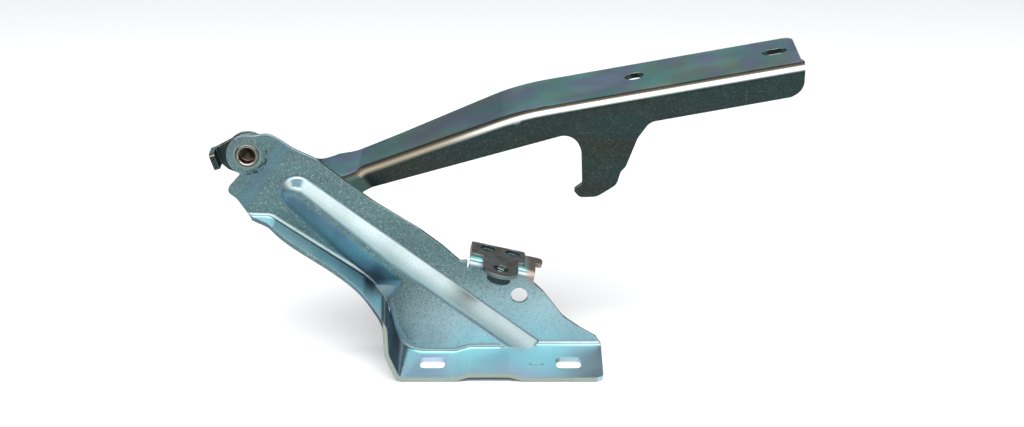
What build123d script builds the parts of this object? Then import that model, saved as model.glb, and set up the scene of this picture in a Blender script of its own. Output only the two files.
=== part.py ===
from build123d import *
from math import asin, atan2, cos, degrees, hypot, radians, sin, tan
import os

os.makedirs("parts", exist_ok=True)

# Places. The origin is midway between the two flange slots, on the underside of the flange.
# Outlines are drawn from the pivot's centre, x to the right and z up, and depths run away from
# the viewer from the front face of the bracket's web.
pivot_x = -139.5
pivot_z = 116.5
web_y = 24.0

# Bracket sheet and its foot flange
bracket_sheet = 2.5
bend_r = 3.0
flange_reach = 42.5
flange_end_x = 196.5
flange_corner_r = 5.0
slot_pitch = 76.0
slot_long = 14.0
slot_wide = 13.0
slot_corner_r = 3.0
pad_step = 2.6
pad_ramp_left = (113.5, 122.0)
pad_ramp_right = (144.5, 153.0)
pad_ramp_r = 7.0
web_hole_d = 9.5
web_hole_at = (150.0, -83.7)
mark_at = (20.0, -1.5)
mark_long = 6.5
mark_wide = 0.9
mark_end_d = 1.5

# Wall from the neck to the flange: its inner face where it leaves the web, and at full reach
flange_top = bracket_sheet - pivot_z
wall_root = [(-30, -33.6), (12.5, -34.8), (63.3, -70.8), (75.3, -81.5), (80.3, -97.5), (86.3, flange_top)]
wall_mouth = [(-34, -40.0), (8.5, -42.0), (62.3, -74.0), (77.6, -81.0), (78.1, -100.0), (83.8, flange_top)]
wall_root_r = [9.0, 14.0, 12.0, 12.0, 22.0]
wall_mouth_r = [9.0, 14.0, 8.0, 12.0, 4.0]
wall_rim = [(8, 6.0), (18, 11.5), (32, 13.3), (48, 14.2), (60, 18.5), (70, 31.0)]
wall_rim_end_x = 75.5

# Raised panel of the web
panel_rise = 9.5
panel_slope = 47.0
panel_low_slope = 32.0
panel_end_slope = 40.0
panel_right_slope = 62.0
panel_foot_r = 3.0
panel_brow_r = 5.0
panel_nose_r = 9.7
panel_nose = (27.3, -21.3)
panel_top_heading = -37.6
panel_end_heading = 52.0
panel_star = (67.3, -74.9)
panel_right_x = 161.0
panel_away = (panel_star[0] - panel_nose[0], panel_star[1] - panel_nose[1])
panel_low_heading = degrees(atan2(panel_away[1], panel_away[0]) + asin(panel_nose_r / hypot(*panel_away)))

# Eye of the bracket, set back towards the arm
eye_r = 11.6
eye_step = 2.5
eye_step_at = (9.3, -10.0)
eye_step_heading = 234.0
eye_step_run = 8.0
eye_step_r = 8.0

# Ledge at the top of the web, bent away from the viewer, with a tip at its far right
ledge_at = (122.7, -61.4)
ledge_tilt = 13.0
ledge_long = 37.4
ledge_depth = 22.0
ledge_bend_r = 2.5
ledge_leg = 9.5
ledge_tip_long = 4.2
ledge_tip_wide = 8.0
ledge_tip_r = 2.6

# Nut plate on the ledge and the weld nut under its tongue
plate_sheet = 2.0
plate_long = 31.0
plate_from = 5.0
plate_to = 21.6
plate_corner_r = 1.5
plate_weld_hole_d = 8.6
plate_weld_hole_from = 9.3
plate_weld_hole_pitch = 14.4
plate_weld_hole_depth = 15.8
tongue_wide = 20.0
tongue_from_left = 17.0
tongue_nut_reach = 8.3
tongue_hole_d = 8.4
nut_across_flats = 13.0
nut_high = 5.8
nut_corner_r = 1.0
nut_chamfer = 0.9
nut_chamfer_angle = 50.0
nut_collar_high = 1.2
nut_collar_clear = 0.1
nut_thread_d = 6.8

# Pivot stack, from the bracket's eye away from the viewer
pivot_gap = 0.2
bush_flange = 1.0
bush_flange_d = 22.0
bush_wall = 1.5
pin_d = 14.0
pin_clear = 0.05
neck_d = 11.8
neck_clear = 0.03
clinch_d = 13.6
clinch_high = 1.3
rivet_bore_d = 9.4
rivet_bore_deep = 7.0
rivet_head_d = 21.0
rivet_head_high = 3.0
washer_d = 23.0
washer_thick = 1.0

# Arm sheet
arm_sheet = 3.0
arm_depth = 17.0
arm_bend_r = 3.0
arm_flange_to = 65.3
arm_end_x = 307.0
arm_pivot_r = 11.2
arm_step_at = (66.5, -24.0)
arm_step_heading = -50.0
arm_step_run = 12.0
arm_step_r = 5.0
arm_top = [(-60, 65.6), (44, -20.2), (152.6, 20.2), (360, 58.6)]
arm_top_r = [30.0, 150.0]
arm_slope = 10.5
hood_hole_d = 11.0
hood_slot_long = 14.0
hood_slot_wide = 9.0
hood_hole_x = 214.7
hood_pitch = 79.6
hood_row_depth = 44.5
tab_inner = 15.8
tab_angle = 198.3
tab_up = 8.4
tab_down = 1.5
tab_reach = 3.0
tab_corner_r = 2.2


def facing(depth):
    """Plane that faces the viewer, at a depth behind the web's front face."""
    return Plane(origin=(pivot_x, web_y + depth, pivot_z), x_dir=(1, 0, 0), z_dir=(0, -1, 0))


def level(height):
    """Horizontal plane at a height from the pivot; its zero is the pivot and the web face."""
    return Plane(origin=(pivot_x, web_y, pivot_z + height), x_dir=(1, 0, 0), z_dir=(0, 0, 1))


def across(at, heading):
    """Plane square to a crease: x points to the crease's right-hand side, y to the viewer."""
    side = (cos(radians(heading - 90)), sin(radians(heading - 90)))
    origin = (pivot_x + at[0], web_y, pivot_z + at[1])
    return Plane(origin=origin, x_dir=(side[0], 0, side[1]), z_dir=(side[1], 0, -side[0]))


def between(near, far, share):
    """Value or point part of the way from one to the other."""
    if isinstance(near, tuple):
        return tuple(a + (b - a) * share for a, b in zip(near, far))
    return near + (far - near) * share


def outline(plane, corners, grow=0):
    """Sketch inside corners given as (x, y, radius), grown by a thickness before it is rounded off."""
    with BuildSketch(plane) as sketch:
        with BuildLine():
            Polyline([corner[:2] for corner in corners], close=True)
        make_face()
        for corner in corners:
            if corner[2] > 0:
                fillet(sketch.vertices().sort_by_distance(corner[:2])[0], corner[2])
        if grow != 0:
            offset(amount=grow, kind=Kind.INTERSECTION)
    return sketch.sketch


# The bracket is formed like the real one: a die shape minus a punch shape leaves the sheet.
# The skin is 0 for the punch, which gives the sheet's front, and 1 for the die, its back.


def tray_outline(reach, skin):
    """Tray outline at a reach in front of the web: wall at the left, flange with its step below."""
    share = reach / flange_reach
    wall = [between(a, b, share) for a, b in zip(wall_root, wall_mouth)]
    radii = [0] + [between(a, b, share) for a, b in zip(wall_root_r, wall_mouth_r)]
    corners = [(*point, radius) for point, radius in zip(wall, radii)]
    corners += [
        (pad_ramp_left[0], flange_top, pad_ramp_r),
        (pad_ramp_left[1], flange_top + pad_step, pad_ramp_r),
        (pad_ramp_right[0], flange_top + pad_step, pad_ramp_r),
        (pad_ramp_right[1], flange_top, pad_ramp_r),
        (flange_end_x + 20, flange_top, 0),
        (flange_end_x + 20, 40, 0),
        (-34, 40, 0),
    ]
    return outline(facing(-reach), corners, skin * bracket_sheet)


def tray(front, back, skin):
    """Block between two reaches of the tray, with the bend's radius at its back."""
    with BuildPart() as block:
        add(tray_outline(front, skin))
        add(tray_outline(back, skin))
        loft(ruled=True)
        fillet(block.edges().group_by(Axis.Y)[-1], bend_r + skin * bracket_sheet)
    return block.part


def slope_face(plane, crease, end, skin, rise, slope):
    """Section of the raised panel: up a slope from its crease and level from there on."""
    foot = -skin * bracket_sheet
    shift = crease - foot * tan(radians(slope / 2))
    run = rise / tan(radians(slope))
    corners = [
        (crease - 8, foot - 4, 0),
        (crease - 8, foot, 0),
        (shift, foot, panel_foot_r - foot),
        (shift + run, foot + rise, 0),
        (end + 40, foot + rise, 0),
        (end + 40, foot - 4, 0),
    ]
    with BuildSketch(plane) as section:
        add(outline(Plane.XY, corners))
        with Locations(((crease - 8 + end) / 2, 0)):
            Rectangle(end - crease + 8, 100, mode=Mode.INTERSECT)
    return section.sketch


def panel_side(at, heading, skin, rise, slope, past_brow):
    """Half of the sheet's plane raised to the right of one straight crease."""
    plane = across(at, heading)
    crease = past_brow * tan(radians(slope / 2))
    with BuildPart() as side:
        extrude(slope_face(plane, crease, 300, skin, rise, slope), amount=250, both=True, dir=plane.z_dir)
    return side.part


def from_nose(distance, heading):
    """Point of the web at a distance and heading from the middle of the panel's nose."""
    turn = radians(heading)
    return (panel_nose[0] + distance * cos(turn), panel_nose[1] + distance * sin(turn))


def panel(skin, rise, past_brow=0):
    """Raised panel: two creases that leave a round nose, one of them as far as the wall."""
    top_at = from_nose(panel_nose_r, panel_top_heading + 90)
    nose_plane = across(panel_nose, panel_top_heading)
    nose_crease = past_brow * tan(radians(panel_slope / 2)) - panel_nose_r
    low_side = panel_side(panel_star, 180 + panel_low_heading, skin, rise, panel_low_slope, past_brow)
    with BuildPart() as nose:
        revolve(slope_face(nose_plane, nose_crease, 0, skin, rise, panel_slope),
                axis=Axis(nose_plane.origin, (0, -1, 0)),
                revolution_arc=180 + panel_low_heading - panel_top_heading)
        add(low_side, mode=Mode.INTERSECT)
    with BuildPart() as form:
        add(low_side)
        add(panel_side(panel_star, panel_end_heading, skin, rise, panel_end_slope, past_brow))
        add(panel_side(top_at, panel_top_heading, skin, rise, panel_slope, past_brow), mode=Mode.INTERSECT)
        add(panel_side((panel_right_x, 0), -90, skin, rise, panel_right_slope, past_brow), mode=Mode.INTERSECT)
        with BuildSketch(facing(-40)):
            with BuildLine():
                Polyline([panel_nose, from_nose(400, panel_top_heading + 90), from_nose(400, 0),
                          from_nose(400, -90), from_nose(400, panel_low_heading - 90)], close=True)
            make_face()
        extrude(amount=-80, mode=Mode.INTERSECT)
        add(nose.part)
    return form.part


def rounded_panel(skin):
    """The raised panel with its brow, ridge and valley rounded."""
    half_way = web_y + skin * bracket_sheet - panel_rise * 0.42
    with BuildPart() as form:
        add(panel(skin, panel_rise))
        raised = form.edges().filter_by(lambda edge: edge.center().Y < half_way)
        near = raised.filter_by(lambda edge: edge.bounding_box().max.Z > -flange_reach)
        fillet(near, panel_brow_r - skin * bracket_sheet)
    return form.part


def step_block(at, heading, run, low, high, near_r, far_r, shift):
    """Block in front of a joggled sheet: depth low before the crease, high past its ramp."""
    corners = [
        (-400, 80, 0),
        (-400, -low, 0),
        (shift, -low, near_r),
        (run + shift, -high, far_r),
        (200, -high, 0),
        (200, 80, 0),
    ]
    plane = across(at, heading)
    with BuildPart() as block:
        extrude(outline(plane, corners), amount=300, both=True, dir=plane.z_dir)
    return block.part


def formed(front, skin):
    """Die or punch of the bracket, with the panel and the corner round it where it meets the wall."""
    radius = bend_r + skin * bracket_sheet
    floor = -skin * bracket_sheet
    drop_shift = -skin * bracket_sheet * eye_step / eye_step_run / 2
    near_r = eye_step_r - skin * bracket_sheet
    far_r = eye_step_r - bracket_sheet + skin * bracket_sheet
    with BuildPart() as corner:
        add(panel(skin, panel_rise + 3 * bend_r, panel_brow_r - skin * bracket_sheet))
        with BuildSketch(facing(-floor - panel_rise)):
            Rectangle(700, 700)
        extrude(amount=radius + 1, mode=Mode.INTERSECT)
        add(tray(front, floor + panel_rise, skin), mode=Mode.SUBTRACT)
    with BuildPart() as eye_drop:
        add(step_block(eye_step_at, eye_step_heading, eye_step_run, -floor, eye_step - floor,
                       near_r, far_r, drop_shift - eye_step_run / 2))
        extrude(tray_outline(0, skin), amount=20, dir=(0, 1, 0), mode=Mode.INTERSECT)
    with BuildPart() as block:
        add(tray(front, floor, skin))
        add(rounded_panel(skin), mode=Mode.SUBTRACT)
        add(corner.part, mode=Mode.SUBTRACT)
        add(eye_drop.part)
    return block.part


ledge_turn = radians(ledge_tilt)
ledge_run = (cos(ledge_turn), 0, -sin(ledge_turn))
ledge_up = (sin(ledge_turn), 0, cos(ledge_turn))


def ledge_plane(height):
    """Plane of the ledge's top face, raised by a height: x along it, y away from the viewer."""
    origin = (
        pivot_x + ledge_at[0] + ledge_up[0] * height,
        web_y,
        pivot_z + ledge_at[1] + ledge_up[2] * height,
    )
    return Plane(origin=origin, x_dir=ledge_run, z_dir=ledge_up)


def under_ledge(along, below):
    """Point of the web, from the pivot, below a point along the ledge's top edge."""
    return (
        ledge_at[0] + ledge_run[0] * along - ledge_up[0] * below,
        ledge_at[1] + ledge_run[2] * along - ledge_up[2] * below,
    )


weld_hole_places = [
    (plate_weld_hole_from, plate_weld_hole_depth),
    (plate_weld_hole_from + plate_weld_hole_pitch, plate_weld_hole_depth),
]
bracket_outline = [
    (3.0, 11.2, 0),
    (12.0, 12.4, 8),
    (27.0, 3.9, 14),
    (38.0, -1.4, 20),
    (55.0, -15.5, 30),
    (69.0, -26.5, 60),
    (94.5, -43.3, 30),
    (107.0, -53.3, 20),
    (117.4, -63.2, 3),
    (*under_ledge(-1.6, 0.8), 1),
    (*under_ledge(-0.6, ledge_leg - 3), 0),
    (*under_ledge(ledge_long + 0.6, ledge_leg - 3), 0),
    (*under_ledge(ledge_long + 7, ledge_leg + 1), 10),
    (174.8, -97.0, 18),
    (184.3, -104.0, 20),
    (193.2, -109.3, 3),
    (197.2, -115.0, 0),
    (flange_end_x + 15, -150, 0),
    (-12, -150, 0),
    (-10, -60, 0),
    (1.2, -36.4, 0),
    (-1.2, -32.8, 4),
    (-6.8, -25.8, 5),
    (-12.9, -21.0, 3.2),
    (-4.0, -11.0, 1.5),
    (-7.2, -8.6, 0),
    (0, 0, 0),
]

bracket_die = formed(flange_reach + 2, 1)
bracket_punch = formed(flange_reach + 5, 0)

with BuildPart() as base_bracket:
    add(bracket_die)
    add(bracket_punch, mode=Mode.SUBTRACT)

    # Sheet edge in front view
    with BuildSketch(facing(-flange_reach - 10)):
        add(outline(Plane.XY, bracket_outline))
        Circle(eye_r)
    extrude(amount=-80, mode=Mode.INTERSECT)

    # Sheet edge in plan: the wall's rim, the flange's front edge and its right end
    with BuildSketch(level(60)) as plan:
        with BuildLine():
            rim = Spline([(0, -0.4)] + [(x, -depth) for x, depth in wall_rim]
                         + [(wall_rim_end_x, -flange_reach)])
            Polyline([rim @ 1, (flange_end_x, -flange_reach), (flange_end_x, 30), (-40, 30), (-40, -0.4), rim @ 0])
        make_face()
        fillet(plan.vertices().sort_by_distance((flange_end_x, -flange_reach))[0], flange_corner_r)
    extrude(amount=-260, mode=Mode.INTERSECT)

    # Ledge with its bend, leg and tip
    ledge_section = Plane(origin=ledge_plane(0).origin, x_dir=(0, 1, 0), z_dir=ledge_run)
    ledge_corners = [
        (0, -ledge_leg, 0),
        (0, 0, ledge_bend_r + bracket_sheet),
        (ledge_depth, 0, 0),
        (ledge_depth, -bracket_sheet, 0),
        (bracket_sheet, -bracket_sheet, ledge_bend_r),
        (bracket_sheet, -ledge_leg, 0),
    ]
    extrude(outline(ledge_section, ledge_corners), amount=ledge_long, dir=ledge_run)
    tip_corners = [
        (ledge_long - 4, ledge_depth - ledge_tip_wide, 0),
        (ledge_long + ledge_tip_long, ledge_depth - ledge_tip_wide, ledge_tip_r),
        (ledge_long + ledge_tip_long, ledge_depth, ledge_tip_r),
        (ledge_long - 4, ledge_depth, 0),
    ]
    extrude(outline(ledge_plane(0), tip_corners), amount=-bracket_sheet, dir=ledge_up)

    # Holes: ledge, eye, web, flange slots and the locating mark
    with BuildSketch(ledge_plane(1)):
        with Locations(*weld_hole_places):
            Circle(plate_weld_hole_d / 2)
    extrude(amount=-bracket_sheet - 2, mode=Mode.SUBTRACT)
    with BuildSketch(facing(-5)):
        Circle(neck_d / 2 + neck_clear)
        with Locations(web_hole_at):
            Circle(web_hole_d / 2)
    extrude(amount=-20, mode=Mode.SUBTRACT)
    with BuildSketch(Plane.XY.offset(-1)):
        with GridLocations(slot_pitch, 1, 2, 1):
            RectangleRounded(slot_long, slot_wide, slot_corner_r)
        with Locations(mark_at):
            Rectangle(mark_long, mark_wide)
            with GridLocations(mark_long, 1, 2, 1):
                Circle(mark_end_d / 2)
    extrude(amount=bracket_sheet + 2, mode=Mode.SUBTRACT)
base_bracket.part.label = "base_bracket"

# Nut plate: a rear pad that is welded to the ledge, and a tongue out over the web with the hole
with BuildPart() as nut_plate:
    with BuildSketch(ledge_plane(0)) as plate_face:
        with Locations((plate_long / 2, (plate_from + plate_to) / 2)):
            RectangleRounded(plate_long, plate_to - plate_from, plate_corner_r)
        with Locations((tongue_from_left, (plate_from - tongue_nut_reach) / 2 + 1)):
            Rectangle(tongue_wide, plate_from + tongue_nut_reach + 2)
        with Locations((tongue_from_left, -tongue_nut_reach)):
            Circle(tongue_wide / 2)
            Circle(tongue_hole_d / 2, mode=Mode.SUBTRACT)
        with Locations(*weld_hole_places):
            Circle(plate_weld_hole_d / 2, mode=Mode.SUBTRACT)
    extrude(amount=plate_sheet)
nut_plate.part.label = "nut_plate"


# Weld nut: hexagon with chamfered corners, a collar in the plate's hole, and the bore before its thread
with BuildPart() as weld_nut:
    with BuildSketch(ledge_plane(-nut_high)):
        with Locations((tongue_from_left, -tongue_nut_reach)):
            RegularPolygon(nut_across_flats / 2, 6, major_radius=False, rotation=90)
    extrude(amount=nut_high)
    fillet(weld_nut.edges().filter_by(Axis((0, 0, 0), ledge_up)), nut_corner_r)
    with BuildSketch(ledge_plane(-nut_high)):
        with Locations((tongue_from_left, -tongue_nut_reach)):
            Circle(nut_across_flats / 2 - nut_chamfer)
    extrude(amount=nut_high + nut_collar_high, taper=-nut_chamfer_angle, mode=Mode.INTERSECT)
    with BuildSketch(ledge_plane(0)):
        with Locations((tongue_from_left, -tongue_nut_reach)):
            Circle(tongue_hole_d / 2 - nut_collar_clear)
    extrude(amount=nut_collar_high)
    with BuildSketch(ledge_plane(-nut_high - 1)):
        with Locations((tongue_from_left, -tongue_nut_reach)):
            Circle(nut_thread_d / 2)
    extrude(amount=nut_high + nut_collar_high + 2, mode=Mode.SUBTRACT)
weld_nut.part.label = "weld_nut"

# Depths of the pivot's stack
eye_back = eye_step + bracket_sheet
arm_front = eye_back + pivot_gap + bush_flange
arm_back = arm_front + arm_sheet
washer_front = arm_back + pivot_gap
head_front = washer_front + washer_thick


def turned(profile):
    """Solid turned about the pivot from points given as (radius, depth)."""
    plane = Plane(origin=facing(0).origin, x_dir=(1, 0, 0), z_dir=(0, 0, 1))
    with BuildPart() as body:
        with BuildSketch(plane):
            with BuildLine():
                Polyline(profile, close=True)
            make_face()
        revolve(axis=Axis(plane.origin, (0, 1, 0)), revolution_arc=360)
    return body


with BuildPart() as pivot_rivet:
    bore_r = rivet_bore_d / 2
    clinch_front = eye_step - clinch_high
    add(turned([
        (0, rivet_bore_deep + 2.4),
        (0, head_front + rivet_head_high),
        (rivet_head_d / 2 - 2.2, head_front + rivet_head_high),
        (rivet_head_d / 2, head_front + rivet_head_high - 1.4),
        (rivet_head_d / 2, head_front),
        (pin_d / 2, head_front),
        (pin_d / 2, eye_back),
        (neck_d / 2, eye_back),
        (neck_d / 2, eye_step),
        (clinch_d / 2, eye_step),
        (clinch_d / 2 - 0.1, clinch_front + 0.5),
        (clinch_d / 2 - 0.7, clinch_front),
        (bore_r + 0.5, clinch_front),
        (bore_r, clinch_front + 0.5),
        (bore_r, rivet_bore_deep),
    ]).part)
pivot_rivet.part.label = "pivot_rivet"

bush_bore_r = pin_d / 2 + pin_clear
with BuildPart() as pivot_bush:
    add(turned([
        (bush_bore_r, arm_front - bush_flange),
        (bush_flange_d / 2, arm_front - bush_flange),
        (bush_flange_d / 2, arm_front),
        (bush_bore_r + bush_wall, arm_front),
        (bush_bore_r + bush_wall, arm_back),
        (bush_bore_r, arm_back),
    ]).part)
pivot_bush.part.label = "pivot_bush"

with BuildPart() as friction_washer:
    add(turned([
        (bush_bore_r, washer_front),
        (washer_d / 2, washer_front),
        (washer_d / 2, head_front),
        (bush_bore_r, head_front),
    ]).part)
friction_washer.part.label = "friction_washer"


def arm_face(depth, skin):
    """Region under the arm's top line, lowered by the sheet for the inside of the flange."""
    corners = [(*arm_top[0], 0)]
    corners += [(*point, radius) for point, radius in zip(arm_top[1:3], arm_top_r)]
    corners += [(*arm_top[3], 0), (360, -200, 0), (-60, -200, 0)]
    return outline(facing(depth), corners, -skin * arm_sheet)


def arm_form(skin):
    """Die or punch of the arm: a block under the top line, its front face joggled at the pivot."""
    drop = skin * arm_sheet
    rise = arm_depth - arm_front
    shift = drop * rise / arm_step_run / 2
    seam = (pivot_x + 100, web_y + arm_depth + drop, pivot_z)
    with BuildPart() as block:
        extrude(arm_face(0, skin), amount=90, dir=(0, 1, 0))
        add(step_block(arm_step_at, arm_step_heading, arm_step_run, arm_depth + drop, arm_front + drop,
                       arm_step_r + drop, arm_step_r + arm_sheet - drop, shift), mode=Mode.SUBTRACT)
        fillet(block.edges().sort_by_distance(seam)[0], arm_bend_r + arm_sheet - drop)
    return block.part


# Tab of the arm: corners of its bent leg, square to the ray at its angle
tab_out = (cos(radians(tab_angle)), sin(radians(tab_angle)))
tab_side = (tab_out[1], -tab_out[0])


def tab_corner(radius, along):
    """Point of the tab, at a distance out from the pivot and a distance up along the leg."""
    return (tab_out[0] * radius + tab_side[0] * along, tab_out[1] * radius + tab_side[1] * along)


tab_outer = tab_inner + arm_sheet
arm_outline = [
    (-5.4, 9.8, 0),
    (0, 0, 0),
    (7.0, 8.7, 0),
    (9.0, 80.0, 0),
    (arm_end_x, 80.0, 0),
    (arm_end_x, 33.0, 9),
    (300.0, 28.8, 5),
    (222.5, 14.2, 8),
    (216.0, 5.0, 10),
    (209.6, -12.2, 4),
    (206.8, -15.4, 3),
    (204.6, -23.2, 7),
    (193.6, -30.4, 7),
    (184.0, -30.8, 4),
    (180.2, -26.4, 1.4),
    (185.2, -22.6, 1.8),
    (184.6, -2.0, 14),
    (179.6, 7.8, 9),
    (64.0, -25.6, 60),
    (40.0, -32.6, 22),
    (0, -14.0, 12),
    (-11.0, -9.6, 3),
    tuple(tab_corner(tab_inner, -tab_down)) + (0,),
    tuple(tab_corner(tab_outer, -tab_down)) + (1.2,),
    tuple(tab_corner(tab_outer, tab_up)) + (1.2,),
    tuple(tab_corner(tab_inner, tab_up)) + (0,),
]
arm_plan = [
    (-40, -20, 0),
    (-40, arm_back, 0),
    (13, arm_back, 4),
    (27, 24, 14),
    (38, 33, 14),
    (48, 49, 9),
    (82, 54, 30),
    (138, arm_flange_to, 60),
    (arm_end_x - 2.2, arm_flange_to, 6),
    (arm_end_x - 1.6, 25, 2),
    (arm_end_x, 21, 0),
    (arm_end_x, -20, 0),
]
hood_row = Plane(
    origin=(pivot_x + hood_hole_x, web_y + hood_row_depth, pivot_z + arm_top[2][1]
            + (hood_hole_x - arm_top[2][0]) * tan(radians(arm_slope))),
    x_dir=(cos(radians(arm_slope)), 0, sin(radians(arm_slope))),
    z_dir=(-sin(radians(arm_slope)), 0, cos(radians(arm_slope))),
)

arm_die = arm_form(0)
arm_punch = arm_form(1)

with BuildPart() as hinge_arm:
    add(arm_die)
    add(arm_punch, mode=Mode.SUBTRACT)

    # Sheet edge in front view, with the hook's lug, and in plan
    with BuildSketch(facing(-30)):
        add(outline(Plane.XY, arm_outline))
        Circle(arm_pivot_r)
    extrude(amount=-120, mode=Mode.INTERSECT)
    extrude(outline(level(0), arm_plan), amount=200, both=True, dir=(0, 0, 1), mode=Mode.INTERSECT)

    # Tab bent towards the viewer
    tab_corners = [
        (*tab_corner(tab_inner, -tab_down), 0),
        (*tab_corner(tab_outer, -tab_down), 0),
        (*tab_corner(tab_outer, tab_up), 0),
        (*tab_corner(tab_inner, tab_up), 0),
    ]
    extrude(outline(facing(-tab_reach), tab_corners), amount=tab_reach + arm_back, dir=(0, 1, 0))
    fillet(hinge_arm.edges().group_by(Axis.Y)[0].group_by(SortBy.LENGTH)[0], tab_corner_r)

    # Holes: pivot bush, hood bolt hole and hood slot
    with BuildSketch(facing(-5)):
        Circle(bush_bore_r + bush_wall)
    extrude(amount=-40, mode=Mode.SUBTRACT)
    with BuildSketch(hood_row) as hood_holes:
        Circle(hood_hole_d / 2)
        with Locations((hood_pitch, 0)):
            SlotOverall(hood_slot_long, hood_slot_wide)
    extrude(amount=10, both=True, mode=Mode.SUBTRACT)
hinge_arm.part.label = "hinge_arm"

pieces = [base_bracket, nut_plate, weld_nut, pivot_rivet, pivot_bush, friction_washer, hinge_arm]
for piece in pieces:
    export_step(piece.part, f"parts/{piece.part.label}.step")
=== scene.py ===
"""Hood hinge: the looks of the zinc plated pressings, the riveted pivot and the weld nut."""

import logging
import math
from dataclasses import dataclass, field
from enum import Enum

import bmesh
import bpy
from mathutils import Matrix, Vector


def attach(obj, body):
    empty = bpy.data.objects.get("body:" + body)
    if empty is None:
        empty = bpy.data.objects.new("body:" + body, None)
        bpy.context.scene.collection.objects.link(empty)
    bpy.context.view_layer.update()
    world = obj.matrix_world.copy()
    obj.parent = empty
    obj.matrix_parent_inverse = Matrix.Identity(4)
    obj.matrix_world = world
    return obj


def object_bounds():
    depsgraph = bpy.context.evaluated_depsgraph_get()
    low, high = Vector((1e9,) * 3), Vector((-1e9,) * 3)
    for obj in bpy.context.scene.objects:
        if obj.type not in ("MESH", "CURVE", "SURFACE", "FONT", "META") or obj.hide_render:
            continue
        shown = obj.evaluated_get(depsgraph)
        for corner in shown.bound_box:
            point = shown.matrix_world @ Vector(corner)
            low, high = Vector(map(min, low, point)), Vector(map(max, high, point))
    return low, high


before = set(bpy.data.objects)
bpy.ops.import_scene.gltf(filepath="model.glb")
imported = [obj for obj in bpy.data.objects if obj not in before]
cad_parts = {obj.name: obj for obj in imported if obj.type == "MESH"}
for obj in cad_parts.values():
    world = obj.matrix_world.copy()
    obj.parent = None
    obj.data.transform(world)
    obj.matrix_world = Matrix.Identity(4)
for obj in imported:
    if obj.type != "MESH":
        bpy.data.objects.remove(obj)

LOG = logging.getLogger("hood_hinge")
CAD_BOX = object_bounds()
MM = 0.001

Colour = tuple[float, float, float]
Triple = tuple[float, float, float]
Span = tuple[float, float]
Socket = bpy.types.NodeSocket


class Reading(Enum):
    """What a material reads at a point of its piece."""

    PLACE = "Object"
    FACING = "Normal"


@dataclass
class NodeDesk:
    """A small bench for wiring one node tree.

    Attributes:
        tree: The tree.
    """

    tree: bpy.types.NodeTree

    def add(self, kind: str, **values: object) -> bpy.types.Node:
        """Adds a node and sets its own properties.

        Args:
            kind: Blender's identifier of the node.
            values: Properties to set on it.

        Returns:
            The new node.
        """
        node = self.tree.nodes.new(kind)
        for name, value in values.items():
            setattr(node, name, value)
        return node

    def feed(self, target: Socket, value: object) -> None:
        """Links an output to an input, or sets the input's plain value.

        Args:
            target: The input.
            value: An output socket, a number, a vector or a colour.
        """
        if isinstance(value, Socket):
            self.tree.links.new(value, target)
        elif isinstance(value, tuple) and target.type == "RGBA":
            target.default_value = (*value, 1.0)
        else:
            target.default_value = value

    def parts(self, reading: Reading) -> tuple[Socket, Socket, Socket]:
        """Splits a reading of the piece into its X, Y and Z.

        Args:
            reading: The place or the way the surface faces.

        Returns:
            The three outputs.
        """
        node = self.add("ShaderNodeSeparateXYZ")
        self.feed(node.inputs[0], self.add("ShaderNodeTexCoord").outputs[reading.value])
        return node.outputs["X"], node.outputs["Y"], node.outputs["Z"]

    def math(self, operation: str, *values: object) -> Socket:
        """Adds a Math node.

        Args:
            operation: The operation's name.
            values: Its inputs in order.

        Returns:
            The node's output.
        """
        node = self.add("ShaderNodeMath", operation=operation)
        for target, value in zip(node.inputs, values):
            self.feed(target, value)
        return node.outputs[0]

    def times(self, first: object, second: object) -> Socket:
        """Multiplies two values.

        Args:
            first: A number or an output.
            second: The other one.

        Returns:
            The product.
        """
        return self.math("MULTIPLY", first, second)

    def ramp(self, value: object, low: float, high: float,
             to_low: float = 0.0, to_high: float = 1.0) -> Socket:
        """Maps a range of a value smoothly onto another.

        Args:
            value: The value.
            low: Value that gives to_low.
            high: Value that gives to_high.
            to_low: Result on low's side of the range.
            to_high: Result on high's side of the range.

        Returns:
            The mapped value.
        """
        node = self.add("ShaderNodeMapRange", interpolation_type="SMOOTHSTEP")
        for target, number in zip(node.inputs, (value, low, high, to_low, to_high)):
            self.feed(target, number)
        return node.outputs[0]

    def mix(self, share: object, first: object, second: object) -> Socket:
        """Mixes two colours.

        Args:
            share: Share of the second colour.
            first: First colour.
            second: Second colour.

        Returns:
            The mixed colour.
        """
        node = self.add("ShaderNodeMix", data_type="RGBA")
        colours = [s for s in node.inputs if s.type == "RGBA"]
        self.feed(node.inputs[0], share)
        self.feed(colours[0], first)
        self.feed(colours[1], second)
        return next(s for s in node.outputs if s.type == "RGBA")


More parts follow.
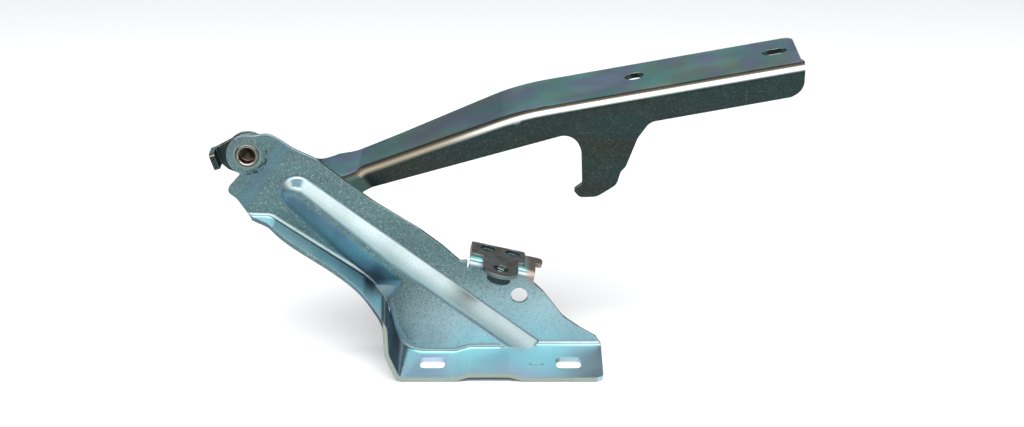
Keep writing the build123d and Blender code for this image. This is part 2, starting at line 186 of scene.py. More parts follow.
@dataclass(frozen=True)
class Cloud:
    """A noise pattern on the piece's own coordinates.

    Attributes:
        scale: Cells to the metre.
        detail: Octaves.
        span: Noise values between which the pattern's mask fades in.
        stretch: Scale along each axis, for streaks.
        shift: Move of the pattern, in metres.
        turn: Turn of the pattern about Y, in degrees.
    """

    scale: float
    detail: float = 2.0
    span: Span = (0.0, 1.0)
    stretch: Triple = (1.0, 1.0, 1.0)
    shift: Triple = (0.0, 0.0, 0.0)
    turn: float = 0.0

    def value(self, desk: NodeDesk) -> Socket:
        """Adds the noise itself.

        Args:
            desk: The desk of the material or group.

        Returns:
            The noise value.
        """
        place = desk.add("ShaderNodeTexCoord").outputs[Reading.PLACE.value]
        mapping = desk.add("ShaderNodeMapping")
        desk.feed(mapping.inputs["Vector"], place)
        mapping.inputs["Scale"].default_value = self.stretch
        mapping.inputs["Location"].default_value = self.shift
        mapping.inputs["Rotation"].default_value = (0, math.radians(self.turn), 0)
        noise = desk.add("ShaderNodeTexNoise")
        desk.feed(noise.inputs["Vector"], mapping.outputs["Vector"])
        noise.inputs["Scale"].default_value = self.scale
        noise.inputs["Detail"].default_value = self.detail
        return noise.outputs[0]

    def mask(self, desk: NodeDesk, to: Span = (0.0, 1.0)) -> Socket:
        """Adds the noise and fades it over its span.

        Args:
            desk: The desk of the material or group.
            to: Results at the two ends of the span.

        Returns:
            The mask.
        """
        return desk.ramp(self.value(desk), *self.span, *to)


EDGE_CHIPS = Cloud(900, 3, (0.40, 0.62))
FINE_GRAIN = Cloud(2300, 1)
COARSE_GRAIN = Cloud(620, 3)
DARK_GRAIN = Cloud(1400, 2, (0.48, 0.30), shift=(0.3, 0.1, 0.2))
LONG_SCRATCHES = Cloud(60, 2, (0.67, 0.74), stretch=(0.35, 6, 22), turn=12)
STEEP_SCRATCHES = Cloud(60, 2, (0.68, 0.75), stretch=(26, 6, 0.5), turn=38, shift=(0.4, 0.2, 0.7))
HANDLED_PATCHES = Cloud(28, 2, (0.48, 0.66), shift=(0.9, 0.3, 0.1))
BATH_STREAKS = Cloud(34, 3, (0.40, 0.66), stretch=(0.3, 1, 2.2), turn=12)
# Wobble of the edge of the painted reflection at the foot.
FOOT_REFLECTION_EDGE = Cloud(18, 2, (0.3, 0.7))
UNDER_DRIFT = Cloud(48, 2, (0.42, 0.62), shift=(0.2, 0.5, 0.4))
HAZE = Cloud(35, 3, (0.35, 0.65))


@dataclass
class EffectGroup:
    """A shader node group with named inputs and outputs, built once and shared.

    Attributes:
        name: The group's name.
        inputs: Names of its inputs.
        outputs: Names of its outputs.
    """

    name: str
    inputs: tuple[str, ...]
    outputs: tuple[str, ...]

    def __post_init__(self) -> None:
        """Makes the group's tree and its sockets."""
        self.tree = bpy.data.node_groups.new(self.name, "ShaderNodeTree")
        for name in self.inputs:
            self.tree.interface.new_socket(name, in_out="INPUT", socket_type="NodeSocketFloat")
        for name in self.outputs:
            self.tree.interface.new_socket(name, in_out="OUTPUT", socket_type="NodeSocketFloat")
        self.desk = NodeDesk(self.tree)
        self.given = self.desk.add("NodeGroupInput").outputs
        self.result = self.desk.add("NodeGroupOutput").inputs

    def place(self, desk: NodeDesk, **values: float) -> bpy.types.Node:
        """Places the group in a material.

        Args:
            desk: The material's desk.
            values: Values of the group's inputs.

        Returns:
            The group's node.
        """
        node = desk.add("ShaderNodeGroup", node_tree=self.tree)
        for name, value in values.items():
            desk.feed(node.inputs[name], value)
        return node


@dataclass
class Effects:
    """The effects that the plated finishes share.

    Attributes:
        edge_turn: Cosines between which a rounded edge counts as worn.
        edge_samples: Samples of the Bevel node that finds the edges.
        bright_fine: Values of the fine grain between which a bright speck fades in.
        bright_coarse: The same for the coarse grain that thins the specks out.
        coarse_height: Height of the coarse grain beside the fine one.
    """

    edge_turn: Span = (0.995, 0.86)
    edge_samples: int = 4
    bright_fine: Span = (0.54, 0.74)
    bright_coarse: Span = (0.40, 0.62)
    coarse_height: float = 0.8

    def __post_init__(self) -> None:
        """Builds each group once."""
        self.edge = self.edge_wear()
        self.grain = self.plating_grain()
        self.scratch = self.handling_scratches()

    def edge_wear(self) -> EffectGroup:
        """Mask of the cut edges, broken up by noise.

        Returns:
            The group, with output Mask.
        """
        group = EffectGroup("edge_wear", ("Radius", "Broken"), ("Mask",))
        desk = group.desk
        bevel = desk.add("ShaderNodeBevel", samples=self.edge_samples)
        desk.feed(bevel.inputs["Radius"], group.given["Radius"])
        facing = desk.add("ShaderNodeVectorMath", operation="DOT_PRODUCT")
        desk.feed(facing.inputs[0], bevel.outputs[0])
        desk.feed(facing.inputs[1], desk.add("ShaderNodeNewGeometry").outputs["Normal"])
        edge = desk.ramp(facing.outputs["Value"], *self.edge_turn)
        broken = desk.times(EDGE_CHIPS.mask(desk), group.given["Broken"])
        desk.feed(group.result["Mask"], desk.times(edge, desk.math("SUBTRACT", 1.0, broken)))
        return group

    def plating_grain(self) -> EffectGroup:
        """Fine bright and dark grains of the plating on flat sheet.

        Returns:
            The group, with outputs Bright, Dark and Height.
        """
        group = EffectGroup("plating_grain", ("Amount",), ("Bright", "Dark", "Height"))
        desk, amount = group.desk, group.given["Amount"]
        fine, coarse = FINE_GRAIN.value(desk), COARSE_GRAIN.value(desk)
        bright = desk.times(desk.ramp(fine, *self.bright_fine), desk.ramp(coarse, *self.bright_coarse))
        height = desk.math("ADD", fine, desk.times(coarse, self.coarse_height))
        desk.feed(group.result["Bright"], desk.times(bright, amount))
        desk.feed(group.result["Dark"], desk.times(DARK_GRAIN.mask(desk), amount))
        desk.feed(group.result["Height"], desk.times(height, amount))
        return group

    def handling_scratches(self) -> EffectGroup:
        """Fine scratches in two directions, where the plated sheet was handled.

        Returns:
            The group, with output Mask.
        """
        group = EffectGroup("handling_scratches", ("Amount",), ("Mask",))
        desk = group.desk
        lines = desk.math("MAXIMUM", LONG_SCRATCHES.mask(desk), STEEP_SCRATCHES.mask(desk))
        patchy = desk.times(lines, HANDLED_PATCHES.mask(desk))
        desk.feed(group.result["Mask"], desk.times(patchy, group.given["Amount"]))
        return group


@dataclass(frozen=True)
class RingMark:
    """Discoloured ring, disc or part of a ring about an axis along Y.

    Attributes:
        colour: Colour of the mark.
        middle: X and Z of its middle.
        inner: Inner radius, or 0 for a disc.
        outer: Outer radius.
        soft: Width over which its rims fade.
        heading: Direction of its middle from X towards Z in degrees, or None for a whole ring.
        half_width: Half the angle that a part of a ring covers.
        end_soft: Cosine over which its ends fade.
        broken: Noise value above which a broken mark shows, or 0.
        broken_soft: Noise value over which its bits fade.
        broken_cloud: The noise that breaks it up.
        before: Y in front of which it stays, or None.
        before_soft: Depth over which it fades there.
        least_reach: Distance from the middle below which the heading isn't read.
    """

    colour: Colour
    middle: Span
    inner: float
    outer: float
    soft: float = 0.25 * MM
    heading: float | None = None
    half_width: float = 0.0
    end_soft: float = 0.05
    broken: float = 0.0
    broken_soft: float = 0.08
    broken_cloud: Cloud = Cloud(620)
    before: float | None = None
    before_soft: float = 2 * MM
    least_reach: float = 0.1 * MM

    def mask(self, desk: NodeDesk) -> Socket:
        """Mask of the mark on the piece's own coordinates.

        Args:
            desk: The material's desk.

        Returns:
            The mask.
        """
        x, y, z = desk.parts(Reading.PLACE)
        across = desk.math("SUBTRACT", x, self.middle[0])
        up = desk.math("SUBTRACT", z, self.middle[1])
        reach = desk.math("SQRT", desk.math("ADD", desk.times(across, across), desk.times(up, up)))
        found = desk.ramp(reach, self.outer, self.outer - self.soft)
        if self.inner > 0:
            found = desk.times(found, desk.ramp(reach, self.inner - self.soft, self.inner))
        if self.heading is not None:
            turn = math.radians(self.heading)
            along = desk.math("ADD", desk.times(across, math.cos(turn)), desk.times(up, math.sin(turn)))
            cosine = desk.math("DIVIDE", along, desk.math("MAXIMUM", reach, self.least_reach))
            end = math.cos(math.radians(self.half_width))
            found = desk.times(found, desk.ramp(cosine, end - self.end_soft, end + self.end_soft))
        if self.broken > 0:
            bits = self.broken_cloud.value(desk)
            found = desk.times(found, desk.ramp(bits, self.broken, self.broken + self.broken_soft))
        if self.before is not None:
            found = desk.times(found, desk.ramp(y, self.before, self.before - self.before_soft))
        return found


@dataclass(frozen=True)
class FrontEdge:
    """Sheared edge of the sheet that faces forward, greyer than the coat beside it.

    Attributes:
        colour: Colour of the cut.
        depth: Y in front of which it lies.
        soft: Depth over which it fades in.
    """

    colour: Colour
    depth: float
    soft: float = 0.5 * MM

    def mask(self, desk: NodeDesk) -> Socket:
        """Mask of what lies in front of the depth.

        Args:
            desk: The material's desk.

        Returns:
            The mask.
        """
        return desk.ramp(desk.parts(Reading.PLACE)[1], self.depth, self.depth - self.soft)


@dataclass(frozen=True)
class Wear:
    """How strongly grain, scratches and worn edges show, the same on every finish.

    Attributes:
        dark_grain: Colour of the dark specks.
        dark_share: Their strength.
        bright_grain: Colour of the bright specks.
        bright_share: Their strength.
        scratch: Colour of the scratches.
        scratch_share: Their strength.
        formed_grain: Grain left on formed faces, beside 1 on flat ones.
        foot_calm: Share of the grain that is gone under the painted reflection at the foot.
        streak_share: Strength of the plating bath's streaks.
        haze: Roughness that the haze takes away and adds.
        polish: Roughness that a bright speck takes away.
        edge_radius: Radius of the sheet's rounded edges.
        edge_broken: Share of the worn edges that is broken up.
        relief: Strength of the grain's relief.
        relief_depth: Its depth.
    """

    dark_grain: Colour = (0.07, 0.09, 0.10)
    dark_share: float = 0.72
    bright_grain: Colour = (0.62, 0.68, 0.70)
    bright_share: float = 0.45
    scratch: Colour = (0.72, 0.75, 0.76)
    scratch_share: float = 0.5
    formed_grain: float = 0.22
    foot_calm: float = 0.85
    streak_share: float = 0.7
    haze: Span = (-0.04, 0.05)
    polish: float = 0.10
    edge_radius: float = 0.35 * MM
    edge_broken: float = 0.55
    relief: float = 0.22
    relief_depth: float = 0.05 * MM


@dataclass(frozen=True)
class PlatedFinish:
    """Bright zinc plating with its coloured passivation. The bush's bronze has the same layers.

    The coat's colour follows the way a face looks, and so paints light and shade into it: painted shade on
    faces that look down or level, painted light in the bends, a painted dark line where the bends run out,
    then the lit colour and drifting tints of the faces that look up. A pair whose name ends in from holds
    the normal's values between which that colour fades in.

    Attributes:
        name: The material's name.
        body: Colour of faces that look up, the lit copy of the coat: painted light.
        under: Colour of faces that look down or level, the shaded copy of the coat: painted shade.
        tints: Colours that drift over the faces that look up.
        tint_size: Cells of that drift to the metre.
        tint_share: Its strength.
        tint_span: Noise values between which a tint fades in.
        tint_step: Move of the drift from one tint to the next, in metres.
        tint_growth: How much finer it gets from one tint to the next.
        under_tint: Colour that drifts over the painted shade of the faces that look down or level.
        flat_body: Darker copy of the coat on the faces along XZ, which the press left flat, painted shade;
            None where there are none.
        flat_from: Values of the normal's Y for them.
        flat_tone: Share of the drifting tints on them.
        streak: Colour of the streaks on them.
        foot_reflection: Their colour at the piece's foot, a painted reflection of the flange and floor.
        foot_heights: Slanted heights between which it fades in.
        foot_slant: Rise of those heights to the metre of X.
        foot_drift: How far they wander.
        side: Colour of faces that look sideways, painted shade.
        side_from: Values of the normal's X for them.
        bend_light: Painted light on the bends and faces tilted halfway up, partly the brighter zinc of
            stretched bends.
        bend_from: Values of the normal's Z for them.
        brow_shade: Painted shade to which a flank's painted light dims on its way up to its raised face.
        brow_depths: Y between which it does.
        brow_end: Distances in front of the raised face between which the bends are bright again.
        bend_shade: Painted shade to which the bends' painted light fades along the piece.
        bend_shade_along: X between which they do.
        fold_shade: Painted shade, the dark line where the bends run out.
        fold_from: Values of the normal's Z for it.
        top_from: Values of the normal's Z for faces that look up.
        flat_rough: Roughness of the flat faces.
        formed_rough: Roughness of the others.
        grain: Strength of the grain.
        scratches: Strength of the scratches.
        edge: Colour of the worn edges.
        edge_share: Its strength.
        shift: Move of the first tint's drift, in metres.
        marks: Local discolourings.
        wear: Strength of the shared effects.
    """

    name: str
    body: Colour
    under: Colour
    tints: tuple[Colour, ...]
    tint_size: float = 11.0
    tint_share: float = 0.55
    tint_span: Span = (0.40, 0.66)
    tint_step: Triple = (0.37, 0.61, 0.23)
    tint_growth: float = 0.4
    under_tint: Colour | None = None
    flat_body: Colour | None = None
    flat_from: Span = (0.938, 0.992)
    flat_tone: float = 0.05
    streak: Colour | None = None
    foot_reflection: Colour | None = None
    foot_heights: Span = (0.0, 1.0)
    foot_slant: float = 0.4
    foot_drift: Span = (-8 * MM, 8 * MM)
    side: Colour | None = None
    side_from: Span = (0.75, 0.93)
    bend_light: Colour | None = None
    bend_from: Span = (0.10, 0.48)
    brow_shade: Colour | None = None
    brow_depths: Span = (0.0, 1.0)
    brow_end: Span = (3 * MM, 1 * MM)
    bend_shade: Colour | None = None
    bend_shade_along: Span = (0.0, 1.0)
    fold_shade: Colour | None = None
    fold_from: Span = (0.68, 0.82)
    top_from: Span = (0.88, 0.94)
    flat_rough: float = 0.40
    formed_rough: float = 0.26
    grain: float = 1.0
    scratches: float = 0.6
    edge: Colour = (0.66, 0.68, 0.62)
    edge_share: float = 0.75
    shift: Triple = (0.0, 0.0, 0.0)
    marks: tuple[RingMark | FrontEdge, ...] = ()
    wear: Wear = Wear()

    def tinted(self, desk: NodeDesk) -> Socket:
        """Slow drift of the passivation's colours over the piece.

        Args:
            desk: The material's desk.

        Returns:
            The colour.
        """
        colour: Socket | Colour = self.body
        for step, tint in enumerate(self.tints):
            size = self.tint_size * (1 + self.tint_growth * step)
            shift = tuple(Vector(self.shift) + Vector(self.tint_step) * step)
            drift = Cloud(size, span=self.tint_span, shift=shift).mask(desk)
            colour = desk.mix(desk.times(drift, self.tint_share), colour, tint)
        return colour

    def bend_colour(self, desk: NodeDesk) -> Socket | Colour:
        """Painted light of the bends, which painted shade dims up a flank to its raised face, and along the
        piece.

        Args:
            desk: The material's desk.

        Returns:
            The colour.
        """
        bend_light: Socket | Colour = self.bend_light or self.body
        x, y, _ = desk.parts(Reading.PLACE)
        if self.brow_shade is not None:
            near = self.brow_depths[1]
            kept = desk.ramp(y, near - self.brow_end[0], near - self.brow_end[1])
            bend_light = desk.mix(desk.times(desk.ramp(y, *self.brow_depths), kept), bend_light, self.brow_shade)
        if self.bend_shade is not None:
            bend_light = desk.mix(desk.ramp(x, *self.bend_shade_along), bend_light, self.bend_shade)
        return bend_light

    def formed_colour(self, desk: NodeDesk, tinted: Socket) -> Socket:
        """Colour of the formed faces, with painted light and shade by the way they look.

        Args:
            desk: The material's desk.
            tinted: The drifting colours of the coat.

        Returns:
            The colour.
        """
        sideways, _, up = desk.parts(Reading.FACING)
        # Painted shade on faces that look down, level or sideways, painted light in the bends and a painted
        # dark line where they run out.
        under = desk.mix(UNDER_DRIFT.mask(desk), self.under, self.under_tint or self.under)
        colour = desk.mix(desk.ramp(up, *self.bend_from), under, self.bend_colour(desk))
        colour = desk.mix(desk.ramp(up, *self.fold_from), colour, self.fold_shade or self.body)
        across = desk.ramp(desk.math("ABSOLUTE", sideways), *self.side_from)
        colour = desk.mix(across, colour, self.side or self.under)
        return desk.mix(desk.ramp(up, *self.top_from), colour, tinted)

    def flat_mask(self, desk: NodeDesk) -> Socket | float:
        """Mask of the faces that the press left flat, which take the darker copy of the coat, painted
        shade.

        Args:
            desk: The material's desk.

        Returns:
            The mask, or 0 where the finish has none.
        """
        if self.flat_body is None:
            return 0.0
        _, forward, _ = desk.parts(Reading.FACING)
        return desk.ramp(desk.math("ABSOLUTE", forward), *self.flat_from)

    def foot_reflection_mask(self, desk: NodeDesk) -> Socket | float:
        """Mask of the painted reflection of the flange and floor, which grows towards the piece's foot.

        Args:
            desk: The material's desk.

        Returns:
            The mask, or 0 where the finish has no foot colour.
        """
        if self.foot_reflection is None:
            return 0.0
        x, _, z = desk.parts(Reading.PLACE)
        slanted = desk.math("SUBTRACT", z, desk.times(x, self.foot_slant))
        wandering = desk.math("ADD", slanted, FOOT_REFLECTION_EDGE.mask(desk, self.foot_drift))
        return desk.ramp(wandering, *self.foot_heights)

    def flat_colour(self, desk: NodeDesk, tinted: Socket, foot: Socket | float) -> Socket:
        """Colour of the flat faces, with the bath's streaks and the painted reflection at the foot.

        Args:
            desk: The material's desk.
            tinted: The drifting colours of the coat.
            foot: Mask of the painted reflection at the foot.

        Returns:
            The colour.
        """
        streaks = desk.times(BATH_STREAKS.mask(desk), self.wear.streak_share)
        plain = desk.mix(streaks, self.flat_body, self.streak or self.flat_body)
        plain = desk.mix(foot, plain, self.foot_reflection or self.flat_body)
        return desk.mix(self.flat_tone, plain, tinted)

    def roughness(self, desk: NodeDesk, flat: Socket | float, bright: Socket) -> Socket:
        """Roughness with the haze of the coat and its polished specks.

        Args:
            desk: The material's desk.
            flat: Mask of the flat faces.
            bright: Mask of the bright specks.

        Returns:
            The roughness.
        """
        by_face = desk.math("ADD", desk.times(flat, self.flat_rough - self.formed_rough), self.formed_rough)
        hazy = desk.math("ADD", by_face, HAZE.mask(desk, self.wear.haze))
        return desk.math("SUBTRACT", hazy, desk.times(bright, self.wear.polish))

    def relief(self, desk: NodeDesk, height: Socket, samples: int) -> Socket:
        """Normal with softened sheet edges and the grain's relief.

        Args:
            desk: The material's desk.
            height: Height of the grain.
            samples: Samples of the Bevel node.

        Returns:
            The normal.
        """
        soft = desk.add("ShaderNodeBevel", samples=samples)
        soft.inputs["Radius"].default_value = self.wear.edge_radius
        bump = desk.add("ShaderNodeBump")
        bump.inputs["Strength"].default_value = self.wear.relief
        bump.inputs["Distance"].default_value = self.wear.relief_depth
        desk.feed(bump.inputs["Height"], height)
        desk.feed(bump.inputs["Normal"], soft.outputs[0])
        return bump.outputs[0]

    def build(self, effects: Effects) -> bpy.types.Material:
        """Makes the material.

        Args:
            effects: The shared effects.

        Returns:
            The material.
        """
        made = bpy.data.materials.new(self.name)
        made.use_nodes = True
        desk, wear = NodeDesk(made.node_tree), self.wear
        shader = desk.tree.nodes["Principled BSDF"]
        shader.inputs["Metallic"].default_value = 1.0

        grain = effects.grain.place(desk, Amount=self.grain)
        scratch = effects.scratch.place(desk, Amount=self.scratches)
        edge = effects.edge.place(desk, Radius=wear.edge_radius, Broken=wear.edge_broken)

        flat = grainy = self.flat_mask(desk)
        tinted = self.tinted(desk)
        colour = self.formed_colour(desk, tinted)
        if self.flat_body is not None:
            # Painted reflection of the flange and floor on the lower flat faces, where the grain is calmed.
            foot = self.foot_reflection_mask(desk)
            colour = desk.mix(flat, colour, self.flat_colour(desk, tinted, foot))
            grainy = desk.times(flat, desk.math("SUBTRACT", 1.0, desk.times(foot, wear.foot_calm)))
        visible = desk.math("ADD", wear.formed_grain, desk.times(grainy, 1.0 - wear.formed_grain))
        dark = desk.times(grain.outputs["Dark"], desk.times(visible, wear.dark_share))
        bright = desk.times(grain.outputs["Bright"], desk.times(visible, wear.bright_share))
        colour = desk.mix(dark, colour, wear.dark_grain)
        colour = desk.mix(bright, colour, wear.bright_grain)
        colour = desk.mix(desk.times(scratch.outputs["Mask"], wear.scratch_share), colour, wear.scratch)
        colour = desk.mix(desk.times(edge.outputs["Mask"], self.edge_share), colour, self.edge)
        for mark in self.marks:
            colour = desk.mix(mark.mask(desk), colour, mark.colour)

        desk.feed(shader.inputs["Base Color"], colour)
        desk.feed(shader.inputs["Roughness"], self.roughness(desk, flat, bright))
        height = desk.times(grain.outputs["Height"], visible)
        desk.feed(shader.inputs["Normal"], self.relief(desk, height, effects.edge_samples))
        return made


TEAL = (0.34, 0.74, 0.76)
BLUE = (0.36, 0.64, 0.80)
LILAC = (0.58, 0.56, 0.76)
OLIVE = (0.22, 0.22, 0.14)
TAN = (0.36, 0.27, 0.22)
BROWN = (0.22, 0.14, 0.12)
PIVOT = (-139.5 * MM, 116.5 * MM)
BORE_R = 4.75 * MM

STAKE_MARKS = RingMark((0.035, 0.055, 0.055), PIVOT, 9.0 * MM, 11.6 * MM,
                       heading=-38, half_width=56, broken=0.47)
CLINCH_RING = RingMark((0.17, 0.24, 0.23), PIVOT, 7.0 * MM, 7.9 * MM, soft=0.5 * MM)
FLANGE_RIGHT_SHADE = RingMark((0.34, 0.50, 0.58), (52.0 * MM, 3.0 * MM), 0.0, 26.0 * MM,
                              soft=22.0 * MM, before=21.5 * MM)
# Painted shade at the flange's left end, by the wall.
FLANGE_LEFT_SHADE = RingMark((0.44, 0.55, 0.68), (-38.0 * MM, 3.0 * MM), 0.0, 20.0 * MM,
                            soft=18.0 * MM, before=11.5 * MM)
FLANGE_CUT = FrontEdge((0.27, 0.32, 0.29), -17.9 * MM)
WELD_HEAT_TINT = RingMark((0.26, 0.21, 0.18), (21.5 * MM, 46.5 * MM), 0.0, 10.0 * MM, soft=6.0 * MM)
# Painted shade in the rivet's bore, and the colour of its rim.
RIVET_BORE_SHADE = RingMark((0.030, 0.023, 0.019), PIVOT, 0.0, BORE_R, soft=0.4 * MM)
RIVET_BORE_RIM = RingMark((0.34, 0.30, 0.26), PIVOT, BORE_R, 5.5 * MM, soft=0.3 * MM)

# Each finish paints light and shade by the way its faces look: the colour of faces that look up is painted
# light,
# On the bracket the lower flat faces take a painted reflection of the flange and floor, and painted shade
# dims the
# panel's flank towards its raised face.
# that of the bends is painted light, and faces along XZ take a darker copy, painted shade.
# those of faces that look down, level or sideways and of the line where the bends run out are painted
# shade,
BRACKET_ZINC = PlatedFinish(
    name="bracket_zinc", body=(0.48, 0.84, 0.84), tints=(TEAL, BLUE, LILAC), tint_share=0.6,
    under=(0.105, 0.20, 0.245), under_tint=(0.095, 0.15, 0.205),
    flat_body=(0.075, 0.145, 0.145), streak=(0.055, 0.105, 0.108),
    foot_reflection=(0.31, 0.405, 0.425), foot_heights=(68 * MM, 8 * MM), side=(0.035, 0.055, 0.085),
    bend_light=(0.335, 0.40, 0.405), bend_from=(0.20, 0.50),
    brow_shade=(0.16, 0.235, 0.245), brow_depths=(21.5 * MM, 15.0 * MM),
    fold_shade=(0.075, 0.125, 0.145), fold_from=(0.60, 0.72), top_from=(0.76, 0.85),
    flat_rough=0.48, formed_rough=0.48, grain=1.5, scratches=0.2, shift=(0.1, 0.2, 0.3),
    marks=(STAKE_MARKS, CLINCH_RING, FLANGE_RIGHT_SHADE, FLANGE_LEFT_SHADE, FLANGE_CUT, WELD_HEAT_TINT))
# On the arm the bends' painted light fades to painted shade towards the pivot.
ARM_ZINC = PlatedFinish(
    name="arm_zinc", body=(0.27, 0.60, 0.58),
    tints=((0.19, 0.55, 0.56), (0.38, 0.54, 0.40), (0.35, 0.40, 0.62)), tint_size=24.0, tint_share=0.8,
    under=(0.030, 0.052, 0.050),
    flat_body=(0.018, 0.033, 0.031), flat_tone=0.01, streak=(0.024, 0.024, 0.018),
    side=(0.035, 0.065, 0.055), side_from=(0.30, 0.42),
    bend_light=(0.60, 0.64, 0.62), bend_from=(0.14, 0.54),
    bend_shade=(0.155, 0.135, 0.10), bend_shade_along=(25 * MM, -40 * MM),
    fold_shade=(0.060, 0.052, 0.040), fold_from=(0.58, 0.76), top_from=(0.90, 0.96),
    flat_rough=0.42, formed_rough=0.38, grain=0.22, scratches=0.12, shift=(0.7, 0.4, 0.1))
PLATE_ZINC = PlatedFinish(
    name="plate_zinc", body=(0.36, 0.32, 0.33), tints=(OLIVE, BROWN, (0.28, 0.36, 0.36)),
    tint_size=110.0, tint_share=0.85, under=(0.10, 0.135, 0.138), formed_rough=0.36, scratches=0.5,
    edge=(0.50, 0.50, 0.46), shift=(0.3, 0.9, 0.6))
NUT_ZINC = PlatedFinish(
    name="nut_zinc", body=(0.13, 0.19, 0.195), tints=(TEAL, BROWN), tint_size=90.0, tint_share=0.3,
    under=(0.018, 0.029, 0.031), formed_rough=0.22, scratches=0.2, shift=(0.6, 0.2, 0.8))
RIVET_ZINC = PlatedFinish(
    name="rivet_zinc", body=(0.10, 0.115, 0.10), tints=(TAN, BROWN), tint_size=70.0, tint_share=0.5,
    under=(0.08, 0.09, 0.088), formed_rough=0.32, scratches=0.4, marks=(RIVET_BORE_SHADE, RIVET_BORE_RIM))
BUSH_BRONZE = PlatedFinish(
    name="bush_bronze", body=(0.50, 0.33, 0.14), tints=((0.34, 0.22, 0.10), (0.60, 0.42, 0.22)),
    tint_size=120.0, under=(0.40, 0.26, 0.11), formed_rough=0.38, edge=(0.72, 0.56, 0.34), edge_share=0.5)


@dataclass
class Pressings:
    """The solids of the CAD model and the finish of each.

    Attributes:
        finishes: The finish of each solid by the solid's name.
    """

    finishes: dict[str, PlatedFinish] = field(default_factory=lambda: {
        "base_bracket": BRACKET_ZINC,
        "nut_plate": PLATE_ZINC,
        "weld_nut": NUT_ZINC,
        "pivot_rivet": RIVET_ZINC,
        "friction_washer": RIVET_ZINC,
        "hinge_arm": ARM_ZINC,
        "pivot_bush": BUSH_BRONZE,
    })

    def dress(self, effects: Effects) -> dict[str, bpy.types.Material]:
        """Gives every solid its material.

        Args:
            effects: The shared effects.

        Returns:
            The materials by name.
        """
        made: dict[str, bpy.types.Material] = {}
        for node, finish in self.finishes.items():
            if finish.name not in made:
                made[finish.name] = finish.build(effects)
            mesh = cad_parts[node].data
            mesh.materials.clear()
            mesh.materials.append(made[finish.name])
            LOG.info("%s wears %s", node, finish.name)
        return made


@dataclass
class NutThread:
    """The helical thread in the weld nut's core hole.

    Attributes:
        seat: Middle of the nut's upper face.
        axis: Direction of the nut's axis.
        start: Height of the thread's start along the axis, from the seat.
        rise: Its length along the axis.
        pitch: Rise of one turn.
        core_r: Radius of the nut's plain hole.
        crest: Depth of the thread inward from the hole.
        root_lap: How far it is sunk in the nut's wall.
        root_half: Half its width at the wall.
        crest_half: Half its width at the crest.
        steps_a_turn: Steps of one turn.
    """

    seat: Vector = field(default_factory=lambda: Vector((-0.236, 15.7, 51.276)) * MM)
    axis: Vector = field(default_factory=lambda: Vector((0.22495, 0.0, 0.97437)))
    start: float = -5.25 * MM
    rise: float = 5.9 * MM
    pitch: float = 1.25 * MM
    core_r: float = 3.4 * MM
    crest: float = 0.35 * MM
    root_lap: float = 0.05 * MM
    root_half: float = 0.5 * MM
    crest_half: float = 0.09 * MM
    steps_a_turn: int = 32

    def build(self, material: bpy.types.Material) -> bpy.types.Object:
        """Sweeps the thread's section up the hole.

        Args:
            material: The nut's finish.

        Returns:
            The thread, which rides on the bracket.
        """
        turns = self.rise / self.pitch
        steps = round(turns * self.steps_a_turn)
        shape = bmesh.new()
        section = [(self.root_lap, -self.root_half), (-self.crest, -self.crest_half),
                   (-self.crest, self.crest_half), (self.root_lap, self.root_half)]
        corners = [shape.verts.new((self.core_r + out, 0, self.start + up)) for out, up in section]
        edges = [shape.edges.new((corners[i - 1], corners[i])) for i in range(len(corners))]
        bmesh.ops.spin(shape, geom=[*corners, *edges], cent=(0, 0, 0), axis=(0, 0, 1),
                       dvec=(0, 0, self.rise / steps), angle=math.tau * turns, steps=steps)
        ends = [edge for edge in shape.edges if edge.is_boundary]
        bmesh.ops.holes_fill(shape, edges=ends, sides=len(corners))
        bmesh.ops.recalc_face_normals(shape, faces=shape.faces)
        turn = Vector((0, 0, 1)).rotation_difference(self.axis).to_matrix().to_4x4()
        bmesh.ops.transform(shape, matrix=Matrix.Translation(self.seat) @ turn, verts=shape.verts)
        mesh = bpy.data.meshes.new("nut_thread")
        shape.to_mesh(mesh)
        shape.free()
        mesh.materials.append(material)
        thread = bpy.data.objects.new("nut_thread", mesh)
        bpy.context.scene.collection.objects.link(thread)
        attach(thread, "bracket")
        LOG.info("nut_thread has %d faces", len(mesh.polygons))
        return thread


@dataclass(frozen=True)
class SoftBox:
    """A rectangular light that looks at the part.

    Attributes:
        name: The light's name.
        power: Power in watts.
        size: Width and depth in metres.
        at: Place in metres.
    """

    name: str
    power: float
    size: Span
    at: Triple

    def hang(self, target: Vector) -> None:
        """Makes the light.

        Args:
            target: The point that it looks at.
        """
        light = bpy.data.lights.new(self.name, "AREA")
        light.shape = "RECTANGLE"
        light.size, light.size_y = self.size
        light.energy = self.power
        lamp = bpy.data.objects.new(self.name, light)
        lamp.location = self.at
        lamp.rotation_euler = (target - Vector(self.at)).to_track_quat("-Z", "Y").to_euler()
        bpy.context.scene.collection.objects.link(lamp)


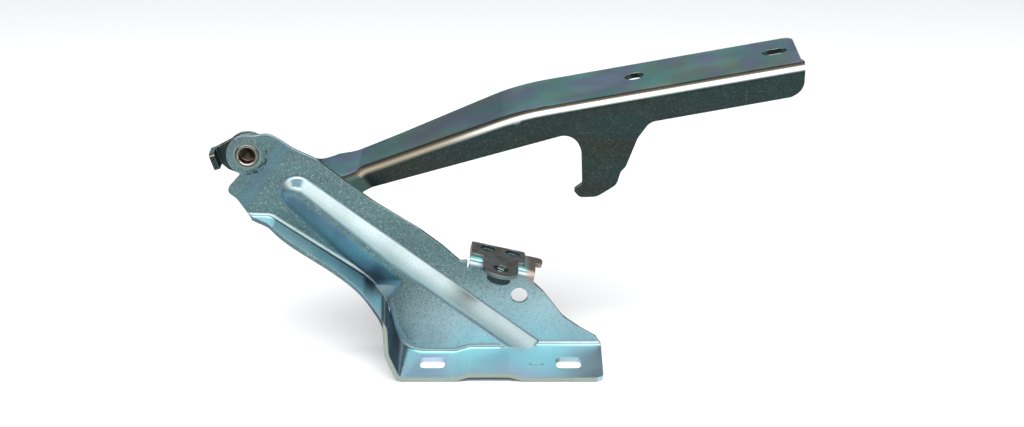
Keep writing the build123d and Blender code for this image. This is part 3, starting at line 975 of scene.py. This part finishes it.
@dataclass
class Studio:
    """Floor, soft light and the camera at the photograph's angle.

    Attributes:
        target: The point that camera and lights look at.
        eye: The camera's place.
        lens_mm: Its focal length.
        sensor_mm: Width of its sensor.
        clip: Nearest and farthest depth that it sees, in metres.
        floor_side: Side of the floor, in metres.
        floor_drop: How far the floor lies under the part.
        floor_colour: Its colour.
        floor_rough: Its roughness.
        floor_gloss: Its specular level.
        room_colour: Colour of the room's even light.
        room_light: Its strength.
        boxes: The soft boxes.
    """

    target: Vector = field(default_factory=lambda: Vector((6.43, 24.0, 82.96)) * MM)
    eye: Vector = field(default_factory=lambda: Vector((6.43, -1084.66, 542.18)) * MM)
    lens_mm: float = 75.94
    sensor_mm: float = 36.0
    clip: Span = (0.01, 50.0)
    floor_side: float = 14.0
    floor_drop: float = 0.2 * MM
    floor_colour: Colour = (0.86, 0.86, 0.86)
    floor_rough: float = 0.9
    floor_gloss: float = 0.1
    room_colour: Colour = (0.93, 0.97, 1.0)
    room_light: float = 0.24
    boxes: tuple[SoftBox, ...] = (
        SoftBox("overhead_box", 48.0, (3.2, 1.3), (0.0, -0.45, 1.05)),
        SoftBox("front_box", 17.0, (3.0, 1.4), (0.0, -2.4, 1.25)))

    def floor(self) -> None:
        """Lays the pale floor under the part."""
        mesh = bpy.data.meshes.new("floor")
        sheet = bmesh.new()
        bmesh.ops.create_grid(sheet, x_segments=1, y_segments=1, size=self.floor_side / 2)
        bmesh.ops.translate(sheet, verts=sheet.verts, vec=(0, 0, CAD_BOX[0].z - self.floor_drop))
        sheet.to_mesh(mesh)
        sheet.free()
        floor = bpy.data.objects.new("floor", mesh)
        bpy.context.scene.collection.objects.link(floor)
        made = bpy.data.materials.new("pale_floor")
        made.use_nodes = True
        shader = made.node_tree.nodes["Principled BSDF"]
        shader.inputs["Base Color"].default_value = (*self.floor_colour, 1)
        shader.inputs["Roughness"].default_value = self.floor_rough
        shader.inputs["Specular IOR Level"].default_value = self.floor_gloss
        mesh.materials.append(made)

    def room(self) -> None:
        """Sets the even light of the room."""
        room = bpy.data.worlds.new("room")
        room.use_nodes = True
        background = room.node_tree.nodes["Background"]
        background.inputs["Color"].default_value = (*self.room_colour, 1)
        background.inputs["Strength"].default_value = self.room_light
        bpy.context.scene.world = room
        bpy.context.scene.view_settings.view_transform = "Standard"

    def camera(self) -> None:
        """Sets the camera at the photograph's viewing angle."""
        data = bpy.data.cameras.new("camera")
        data.lens = self.lens_mm
        data.sensor_width = self.sensor_mm
        data.clip_start, data.clip_end = self.clip
        camera = bpy.data.objects.new("camera", data)
        camera.location = self.eye
        camera.rotation_euler = (self.target - self.eye).to_track_quat("-Z", "Y").to_euler()
        bpy.context.scene.collection.objects.link(camera)
        bpy.context.scene.camera = camera

    def build(self) -> None:
        """Makes the whole stage."""
        self.floor()
        for box in self.boxes:
            box.hang(self.target)
        self.room()
        self.camera()
        LOG.info("stage is set")


def main() -> None:
    """Builds the looks piece by piece, then the stage."""
    logging.basicConfig(level=logging.INFO)
    effects = Effects()
    materials = Pressings().dress(effects)
    NutThread().build(materials[NUT_ZINC.name])
    Studio().build()


if __name__ == "__main__":
    main()
